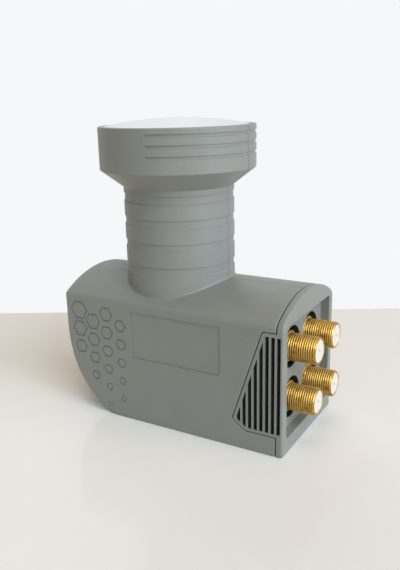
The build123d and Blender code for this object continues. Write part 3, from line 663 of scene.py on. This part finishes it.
def thread_tree():
    """Geometry nodes: a turned profile wound into a screw thread.

    Each point of the incoming mesh holds a place along the axis, a radius and a thread weight."""
    # Shares of the pitch, from a valley's middle, where its floor ends and where the ridge begins
    root_share, flank_share = 0.10, 0.43
    tree = new_node_tree("screw_thread", (
        ("NodeSocketInt", "Profile Points"),
        ("NodeSocketInt", "Around"),
        ("NodeSocketFloat", "Pitch"),
        ("NodeSocketFloat", "Depth"),
        ("NodeSocketFloat", "Major Radius"),
        ("NodeSocketFloat", "Turn"),
        ("NodeSocketVector", "Place"),
        ("NodeSocketMaterial", "Material"),
    ))
    graph = Graph(tree)
    source = graph.add("NodeGroupInput", name="Group Input").outputs
    columns = graph.math("ADD", source["Around"], 1)
    grid = graph.add("GeometryNodeMeshGrid", {
        "Size X": 1.0, "Size Y": 1.0, "Vertices X": source["Profile Points"], "Vertices Y": columns})
    spot = graph.add("ShaderNodeSeparateXYZ", {0: graph.add("GeometryNodeInputPosition").outputs[0]})
    last_point = graph.math("SUBTRACT", source["Profile Points"], 1)
    along = graph.math("ADD", spot.outputs["X"], 0.5)
    index = graph.math("ROUND", graph.math("MULTIPLY", along, last_point))
    share = graph.math("ADD", spot.outputs["Y"], 0.5)
    sample = graph.add("GeometryNodeSampleIndex", {
        "Geometry": source["Geometry"],
        "Value": graph.add("GeometryNodeInputPosition").outputs[0],
        "Index": index,
    }, data_type="FLOAT_VECTOR", domain="POINT")
    profile = graph.add("ShaderNodeSeparateXYZ", {0: sample.outputs[0]}).outputs
    turns = graph.math("DIVIDE", profile["X"], source["Pitch"])
    phase = graph.math("FRACT", graph.math("ADD", graph.math("SUBTRACT", turns, share), source["Turn"]))
    from_middle = graph.math("ABSOLUTE", graph.math("SUBTRACT", phase, 0.5))
    valley = graph.spread(from_middle, 1.0, 0.0, start=root_share, end=flank_share)
    cut_depth = graph.math("MULTIPLY", graph.math("MULTIPLY", valley, source["Depth"]), profile["Z"])
    ridge = graph.math("SUBTRACT", source["Major Radius"], cut_depth)
    threaded = graph.math("MINIMUM", profile["Y"], ridge)
    is_thread = graph.math("GREATER_THAN", profile["Z"], 0.0)
    blend = graph.add("ShaderNodeMix", {"Factor": is_thread, "A": profile["Y"], "B": threaded})
    radius = blend.outputs["Result"]
    angle = graph.math("MULTIPLY", share, math.tau)
    shape = graph.add("ShaderNodeCombineXYZ", {
        "X": profile["X"],
        "Y": graph.math("MULTIPLY", radius, graph.math("COSINE", angle)),
        "Z": graph.math("MULTIPLY", radius, graph.math("SINE", angle)),
    })
    # The valley weight is kept as an attribute, through which the plating's material paints shade into the
    # thread's valleys
    marked = graph.add("GeometryNodeStoreNamedAttribute", {
        "Geometry": grid.outputs["Mesh"], "Name": "valley",
        "Value": graph.math("MULTIPLY", valley, profile["Z"]),
    }, data_type="FLOAT", domain="POINT")
    wound = graph.add("GeometryNodeSetPosition", {
        "Geometry": marked.outputs[0], "Position": shape.outputs[0]})
    closed = graph.add("GeometryNodeMergeByDistance", {
        "Geometry": wound.outputs[0], "Distance": JOIN_DISTANCE})
    point = graph.add("GeometryNodePoints", {"Count": 1, "Position": source["Place"]})
    placed = graph.add("GeometryNodeInstanceOnPoints", {
        "Points": point.outputs[0], "Instance": closed.outputs[0]})
    finish_tree(graph, placed.outputs[0])
    return tree


def shell_profile(thread):
    """A mesh whose points trace the connector shell: place along the axis, radius, thread weight"""
    back, tip = SHELL_LOW.x, SHELL_HIGH.x
    collar_radius = (SHELL_HIGH.y - SHELL_LOW.y) / 2
    barrel_back = tip - thread.barrel_length
    collar_back = barrel_back - thread.collar_length
    mouth_back = tip - thread.mouth_depth
    soft = 0.15 * MM
    # The barrel's points keep a weight above 0, which marks them as threaded
    least_weight = 0.01
    points = [
        (back, thread.bore_radius, 0.0),
        (back, thread.spigot_radius, 0.0),
        (collar_back, thread.spigot_radius, 0.0),
        (collar_back, collar_radius - soft, 0.0),
        (collar_back + soft, collar_radius, 0.0),
        (barrel_back - soft, collar_radius, 0.0),
        (barrel_back, collar_radius - soft, 0.0),
        (barrel_back, thread.major_radius, 0.0),
    ]
    steps = round(thread.barrel_length / thread.pitch * thread.per_turn)
    for step in range(1, steps + 1):
        x = barrel_back + thread.barrel_length * step / steps
        chamfer = max(0.0, x - (tip - thread.chamfer))
        weight = min(1.0, (x - barrel_back) / thread.pitch)
        points.append((x, thread.major_radius - chamfer, max(weight, least_weight)))
    points += [
        (tip, thread.mouth_radius + soft, 0.0),
        (tip - soft, thread.mouth_radius, 0.0),
        (mouth_back, thread.mouth_radius, 0.0),
        (mouth_back, thread.bore_radius, 0.0),
        (back, thread.bore_radius, 0.0),
    ]
    mesh = bpy.data.meshes.new("shell_profile")
    mesh.from_pydata(points, [], [])
    return mesh


class LNB_OT_housing(bpy.types.Operator):
    """Dress both halves of the case and cut the cell pattern into the front half's side"""

    bl_idname = "lnb.housing"
    bl_label = "Case halves"

    def execute(self, context):
        relief = context.scene.lnb_relief
        values = {
            "Cell Radius": relief.cell_radius,
            "Line Width": relief.line_width,
            "Depth": relief.depth,
            "Material": finish("housing_grey"),
        }
        cells = run_tree(cell_tree(), cell_points(relief), values)
        front = cut(merged_copy("housing_front"), cells)
        # Painted shade on the faces of the joint between the case halves
        mark_painted_shade(front, on_joint)
        new_piece("housing_front_moulding", soft_normals(front), "housing_grey", ["housing_front"], CASE_BODY)
        # Painted shade on the rear half's joint faces too
        dress("housing_rear", "moulding", painted_shade_test=on_joint)
        return {"FINISHED"}


class LNB_OT_weather_shield(bpy.types.Operator):
    """Dress the sliding weather shield"""

    bl_idname = "lnb.weather_shield"
    bl_label = "Weather shield"

    def execute(self, context):
        # Painted shade inside the shield's slots and access holes
        dress("weather_shield", "moulding", SHIELD_BODY, in_shield_opening)
        return {"FINISHED"}


class LNB_OT_feed_cap(bpy.types.Operator):
    """Dress the domed cap and its seal"""

    bl_idname = "lnb.feed_cap"
    bl_label = "Feed cap"

    def execute(self, context):
        dress("feed_cap", "dome")
        dress("cap_seal", "ring")
        return {"FINISHED"}


class LNB_OT_connectors(bpy.types.Operator):
    """Wind the threads of the connector shells and dress what is in them"""

    bl_idname = "lnb.connectors"
    bl_label = "Connectors"

    def execute(self, context):
        thread = context.scene.lnb_thread
        tree = thread_tree()
        for number in CONNECTOR_NUMBERS:
            node = f"connector_shell_{number}"
            low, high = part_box(node)
            profile = shell_profile(thread)
            mesh = run_tree(tree, profile, {
                "Profile Points": len(profile.vertices),
                "Around": thread.around,
                "Pitch": thread.pitch,
                "Depth": thread.depth,
                "Major Radius": thread.major_radius,
                "Turn": THREAD_TURN_STEP * number,
                "Place": (0.0, (low.y + high.y) / 2, (low.z + high.z) / 2),
                "Material": finish("connector_gold"),
            })
            new_piece(f"{node}_thread", soft_normals(mesh, THREAD_ANGLE), "connector_gold", [node], CASE_BODY)
            dress(f"connector_insulator_{number}", "disc")
            dress(f"connector_contact_{number}", "wire")
        # The black gasket sheet stands as painted shade: it darkens what shows through the weather shield's
        # access holes
        dress("connector_gasket", "sheet")
        return {"FINISHED"}


class LNB_OT_inner_parts(bpy.types.Operator):
    """Dress the chassis, the board and all that the case closes in"""

    bl_idname = "lnb.inner_parts"
    bl_label = "Inner parts"

    def execute(self, context):
        for node in ("chassis", "chassis_cover"):
            dress(node, "casting")
        for node in ("rf_board", "board_chip", "board_crystal", "board_shield_can"):
            dress(node, "surface")
        for way in ("horizontal", "vertical"):
            dress(f"probe_{way}", "wire")
            dress(f"probe_bush_{way}", "sleeve")
        dress("cover_screws", "set")
        return {"FINISHED"}


def floor_material(colour, mirror, gloss_roughness):
    """A pale matt floor with a faint mirror"""
    material = bpy.data.materials.new("pale_floor")
    material.use_nodes = True
    graph = Graph(material.node_tree)
    matt = graph.add("ShaderNodeBsdfDiffuse", {"Color": (*colour, 1.0)})
    gloss = graph.add("ShaderNodeBsdfAnisotropic", {"Roughness": gloss_roughness})
    both = graph.add("ShaderNodeMixShader", {0: mirror, 1: matt.outputs[0], 2: gloss.outputs[0]})
    graph.feed(material.node_tree.nodes["Material Output"].inputs["Surface"], both.outputs[0])
    return material


def floor_sheet(reach, half_width, heading):
    """A wide level floor that ends square to the heading, beyond the LNB"""
    ahead = Vector((-math.sin(heading), math.cos(heading), 0.0))
    across = Vector((math.cos(heading), math.sin(heading), 0.0))
    near, far = ahead * -half_width, ahead * reach
    left, right = across * -half_width, across * half_width
    corners = [near + left, near + right, far + right, far + left]
    mesh = bpy.data.meshes.new("floor")
    mesh.from_pydata(corners, [], [(0, 1, 2, 3)])
    sheet = bpy.data.objects.new("floor", mesh)
    bpy.context.scene.collection.objects.link(sheet)
    return sheet


def area_lamp(name, heading, rise, distance, spread, power, colour):
    """A broad soft lamp that points at the LNB, placed by its heading from +X and its rise in degrees"""
    light = bpy.data.lights.new(name, "AREA")
    light.shape = "SQUARE"
    light.size = spread * distance
    light.energy = power
    light.color = colour
    turn, lift = math.radians(heading), math.radians(rise)
    away = Vector((math.cos(lift) * math.cos(turn), math.cos(lift) * math.sin(turn), math.sin(lift)))
    lamp = bpy.data.objects.new(name, light)
    lamp.location = (cad_box[0] + cad_box[1]) / 2 + away * distance
    lamp.rotation_euler = away.to_track_quat("Z", "Y").to_euler()
    bpy.context.scene.collection.objects.link(lamp)


def studio_world(stage):
    """Even light all round, and a pale background where it is seen or mirrored"""
    world = bpy.data.worlds.new("studio")
    world.use_nodes = True
    graph = Graph(world.node_tree)
    seen = graph.add("ShaderNodeLightPath").outputs
    mirrored = graph.math("MAXIMUM", seen["Is Glossy Ray"], seen["Is Transmission Ray"])
    any_view = graph.math("MAXIMUM", seen["Is Camera Ray"], mirrored)
    backdrop = graph.add("ShaderNodeBackground", {"Color": (*stage.wall_colour, 1.0), "Strength": 1.0})
    even = graph.add(
        "ShaderNodeBackground", {"Color": (*stage.ambient_colour, 1.0), "Strength": stage.ambient})
    both = graph.add("ShaderNodeMixShader", {0: any_view, 1: even.outputs[0], 2: backdrop.outputs[0]})
    output = world.node_tree.nodes["World Output"]
    graph.feed(output.inputs["Surface"], both.outputs[0])
    bpy.context.scene.world = world


def turned_camera(place, turn, lens):
    """A camera at a place, turned by its yaw from +Y, its pitch downwards and its roll"""
    yaw, pitch, roll = turn
    ahead = Vector((-math.sin(yaw) * math.cos(pitch), math.cos(yaw) * math.cos(pitch), -math.sin(pitch)))
    level = Vector((math.cos(yaw), math.sin(yaw), 0.0))
    up = level.cross(ahead)
    right = level * math.cos(roll) + up * math.sin(roll)
    above = up * math.cos(roll) - level * math.sin(roll)
    data = bpy.data.cameras.new("camera")
    data.lens = lens
    data.sensor_width = 36.0
    data.clip_start = 0.01
    camera = bpy.data.objects.new("camera", data)
    axes = Matrix((right, above, -ahead)).transposed()
    camera.matrix_world = Matrix.Translation(place) @ axes.to_4x4()
    bpy.context.scene.collection.objects.link(camera)
    return camera


class LNB_OT_stage(bpy.types.Operator):
    """Lay the pale floor, hang the lamps and set the camera"""

    bl_idname = "lnb.stage"
    bl_label = "Stage"

    def execute(self, context):
        scene = context.scene
        stage = scene.lnb_stage
        scene.camera = turned_camera(stage.camera_place, stage.camera_turn, stage.lens)

        yaw = stage.camera_turn[0]
        floor = floor_sheet(stage.floor_reach, stage.floor_half_width, yaw - stage.floor_turn)
        floor.data.materials.append(floor_material(stage.floor_colour, stage.floor_mirror, stage.floor_gloss))

        for name, (heading, rise, colour) in LAMPS.items():
            power = getattr(stage, f"{name}_power")
            area_lamp(f"{name}_lamp", heading, rise, stage.lamp_distance, stage.lamp_spread, power, colour)
        studio_world(stage)
        scene.view_settings.view_transform = "Standard"
        return {"FINISHED"}


OPERATORS = (
    LNB_OT_housing,
    LNB_OT_weather_shield,
    LNB_OT_feed_cap,
    LNB_OT_connectors,
    LNB_OT_inner_parts,
    LNB_OT_stage,
)
GROUPS = {
    "lnb_finishes": LnbFinishes,
    "lnb_thread": LnbThread,
    "lnb_relief": LnbRelief,
    "lnb_stage": LnbStage,
}


class LNB_PT_sidebar(bpy.types.Panel):
    """Lists the LNB's sizes, colours and build steps"""

    bl_label = "Satellite LNB"
    bl_idname = "LNB_PT_sidebar"
    bl_space_type = "VIEW_3D"
    bl_region_type = "UI"
    bl_category = "LNB"

    def draw(self, context):
        for name, group in GROUPS.items():
            box = self.layout.box()
            box.label(text=group.__name__.removeprefix("Lnb"))
            for setting in group.__annotations__:
                box.prop(getattr(context.scene, name), setting)
        for operator in OPERATORS:
            self.layout.operator(operator.bl_idname)


def register():
    """Registers the classes and hangs the settings on the scene"""
    for item in (*GROUPS.values(), *OPERATORS, LNB_PT_sidebar):
        bpy.utils.register_class(item)
    for name, group in GROUPS.items():
        setattr(bpy.types.Scene, name, PointerProperty(type=group))


def unregister():
    """Takes the settings and classes away again"""
    for name in GROUPS:
        delattr(bpy.types.Scene, name)
    for item in (LNB_PT_sidebar, *reversed(OPERATORS), *reversed(GROUPS.values())):
        bpy.utils.unregister_class(item)


def main():
    register()
    bpy.ops.lnb.housing()
    bpy.ops.lnb.weather_shield()
    bpy.ops.lnb.feed_cap()
    bpy.ops.lnb.connectors()
    bpy.ops.lnb.inner_parts()
    bpy.ops.lnb.stage()


if __name__ == "__main__":
    main()
